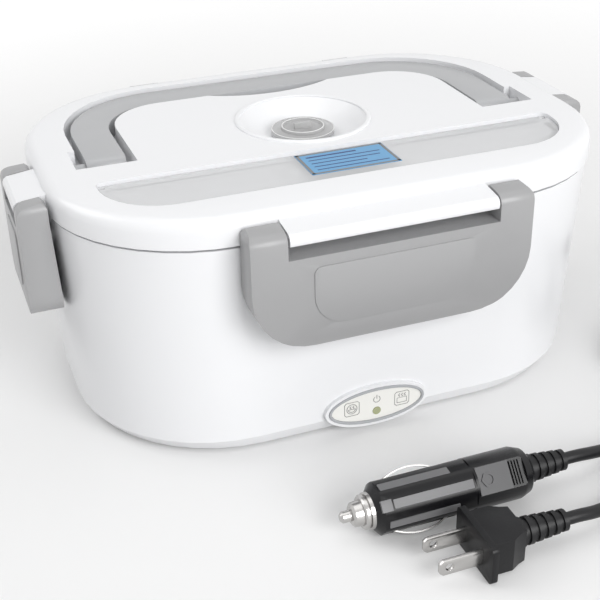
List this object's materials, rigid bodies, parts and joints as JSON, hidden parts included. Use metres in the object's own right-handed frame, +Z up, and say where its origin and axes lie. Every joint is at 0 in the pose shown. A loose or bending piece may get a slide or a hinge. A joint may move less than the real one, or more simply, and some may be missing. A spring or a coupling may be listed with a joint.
{
  "type": "electric lunch box",
  "caption": "Heated lunch box with a lift-off lid, flip latches, folding handle, steam vent, cutlery lid, steel container, food tray and two loose power leads.",
  "frame": {"origin": "centre of the box's own footprint, on the surface that it stands on, leaving out the two loose power leads", "axes": "+X runs along the long front to the right, +Y from the front to the back, +Z up"},
  "size_m": [0.327, 0.3215, 0.1097],
  "materials": {
    "white_body": "glossy injection-moulded polypropylene",
    "white_inner": "fine satin moulded polypropylene",
    "base_cover": "fine textured polypropylene",
    "latch_grey": "satin grey moulded plastic",
    "handle_grey": "satin light grey moulded plastic",
    "foot_rubber": "matt rubber",
    "screw_steel": "zinc-plated steel",
    "plate_aluminium": "cast and faced aluminium",
    "element_copper": "oxidised metal sheath",
    "shield_steel": "pressed galvanised sheet",
    "control_black": "moulded phenolic",
    "fuse_ceramic": "ceramic body with wire ends",
    "ring_grey": "satin grey plastic ring",
    "panel_white": "printed plastic face",
    "led_lens": "translucent yellow-green lens",
    "board_green": "coated circuit board",
    "container_steel": "brushed stainless sheet",
    "tray_clear": "translucent polypropylene",
    "seal_silicone": "soft silicone",
    "window_clear": "frosted translucent plastic",
    "label_blue": "printed plastic sheet",
    "vent_white": "soft satin silicone plug",
    "wire_red": "silicone wire insulation",
    "cord_black": "flexible black PVC",
    "plug_black": "moulded black PVC",
    "barrel_black": "glossy black phenolic",
    "strip_grey": "grey moulded plastic",
    "nickel": "nickel plate"
  },
  "bodies": {
    "base": {"outer_shell": "white_body", "inner_tub": "white_inner", "bottom_cover": "base_cover", "rubber_feet": "foot_rubber", "cover_screws": "screw_steel", "heating_plate": "plate_aluminium", "plate_screws": "screw_steel", "heating_element": "element_copper", "heat_shield": "shield_steel", "thermostat": "control_black", "thermal_fuse": "fuse_ceramic", "ac_inlet": "control_black", "dc_inlet": "control_black", "panel_bezel": "ring_grey", "panel_face": "panel_white", "power_led": "led_lens", "led_board": "board_green", "internal_wires": "wire_red", "ac_plug": "plug_black", "ac_blades": "nickel", "ac_strain_relief": "cord_black", "ac_lead": "cord_black", "ac_coil": "cord_black", "ac_lead_end": "cord_black", "ac_connector": "plug_black", "car_plug": "barrel_black", "car_strips": "strip_grey", "car_inset_plate": "strip_grey", "car_nose_cap": "nickel", "car_side_springs": "nickel", "car_strain_relief": "cord_black", "car_lead": "cord_black", "car_coil": "cord_black", "car_lead_end": "cord_black", "car_connector": "plug_black", "car_jack": "nickel", "cord_ties": "cord_black"},
    "container": {"steel_container": "container_steel"},
    "tray": {"food_tray": "tray_clear"},
    "lid": {"lid_shell": "white_body", "lid_liner": "white_inner", "lid_seal": "seal_silicone", "liner_screws": "screw_steel", "vent_seat": "seal_silicone", "hinge_pins_long": "screw_steel", "hinge_pins_short": "screw_steel"},
    "latch_front_body": {"latch_front": "latch_grey"},
    "latch_back_body": {"latch_back": "latch_grey"},
    "latch_left_body": {"latch_left": "latch_grey"},
    "latch_right_body": {"latch_right": "latch_grey"},
    "handle": {"carry_handle": "handle_grey", "handle_pins": "handle_grey"},
    "window": {"window_cover": "window_clear", "window_label": "label_blue"},
    "vent": {"vent_plug": "vent_white"},
    "plug_tip": {"car_tip": "nickel"}
  },
  "joints": [
    {"name": "lid_lift", "type": "slide", "parent": "base", "child": "lid", "axis": [0, 0, 1], "range_m": [0, 0.2]},
    {"name": "container_lift", "type": "slide", "parent": "base", "child": "container", "axis": [0, 0, 1], "range_m": [0, 0.08]},
    {"name": "tray_lift", "type": "slide", "parent": "container", "child": "tray", "axis": [0, 0, 1], "range_m": [0, 0.07]},
    {"name": "front_latch_flip", "type": "hinge", "parent": "lid", "child": "latch_front_body", "pos_m": [0, -0.0905, 0.1013], "axis": [-1, 0, 0], "range_deg": [0, 95]},
    {"name": "back_latch_flip", "type": "hinge", "parent": "lid", "child": "latch_back_body", "pos_m": [0, 0.0905, 0.1013], "axis": [1, 0, 0], "range_deg": [0, 95]},
    {"name": "left_latch_flip", "type": "hinge", "parent": "lid", "child": "latch_left_body", "pos_m": [-0.127, -0.0115, 0.1013], "axis": [0, 1, 0], "range_deg": [0, 95]},
    {"name": "right_latch_flip", "type": "hinge", "parent": "lid", "child": "latch_right_body", "pos_m": [0.127, 0.0115, 0.1013], "axis": [0, -1, 0], "range_deg": [0, 95]},
    {"name": "handle_swing", "type": "hinge", "parent": "lid", "child": "handle", "pos_m": [0, -0.0015, 0.1037], "axis": [1, 0, 0], "range_deg": [0, 90]},
    {"name": "window_flip", "type": "hinge", "parent": "lid", "child": "window", "pos_m": [0, -0.0319, 0.1066], "axis": [-1, 0, 0], "range_deg": [0, 85]},
    {"name": "vent_pull", "type": "slide", "parent": "lid", "child": "vent", "axis": [0, 0, 1], "range_m": [0, 0.02]},
    {"name": "tip_press", "type": "slide", "parent": "base", "child": "plug_tip", "axis": [1, 0, 0], "range_m": [0, 0.0025], "stiffness_N_per_m": 200, "springref_m": -0.005}
  ],
  "couplings": [
    {"joint": "container_lift", "follows": "lid_lift", "ratio": 0.4},
    {"joint": "tray_lift", "follows": "lid_lift", "ratio": 0.35}
  ]
}
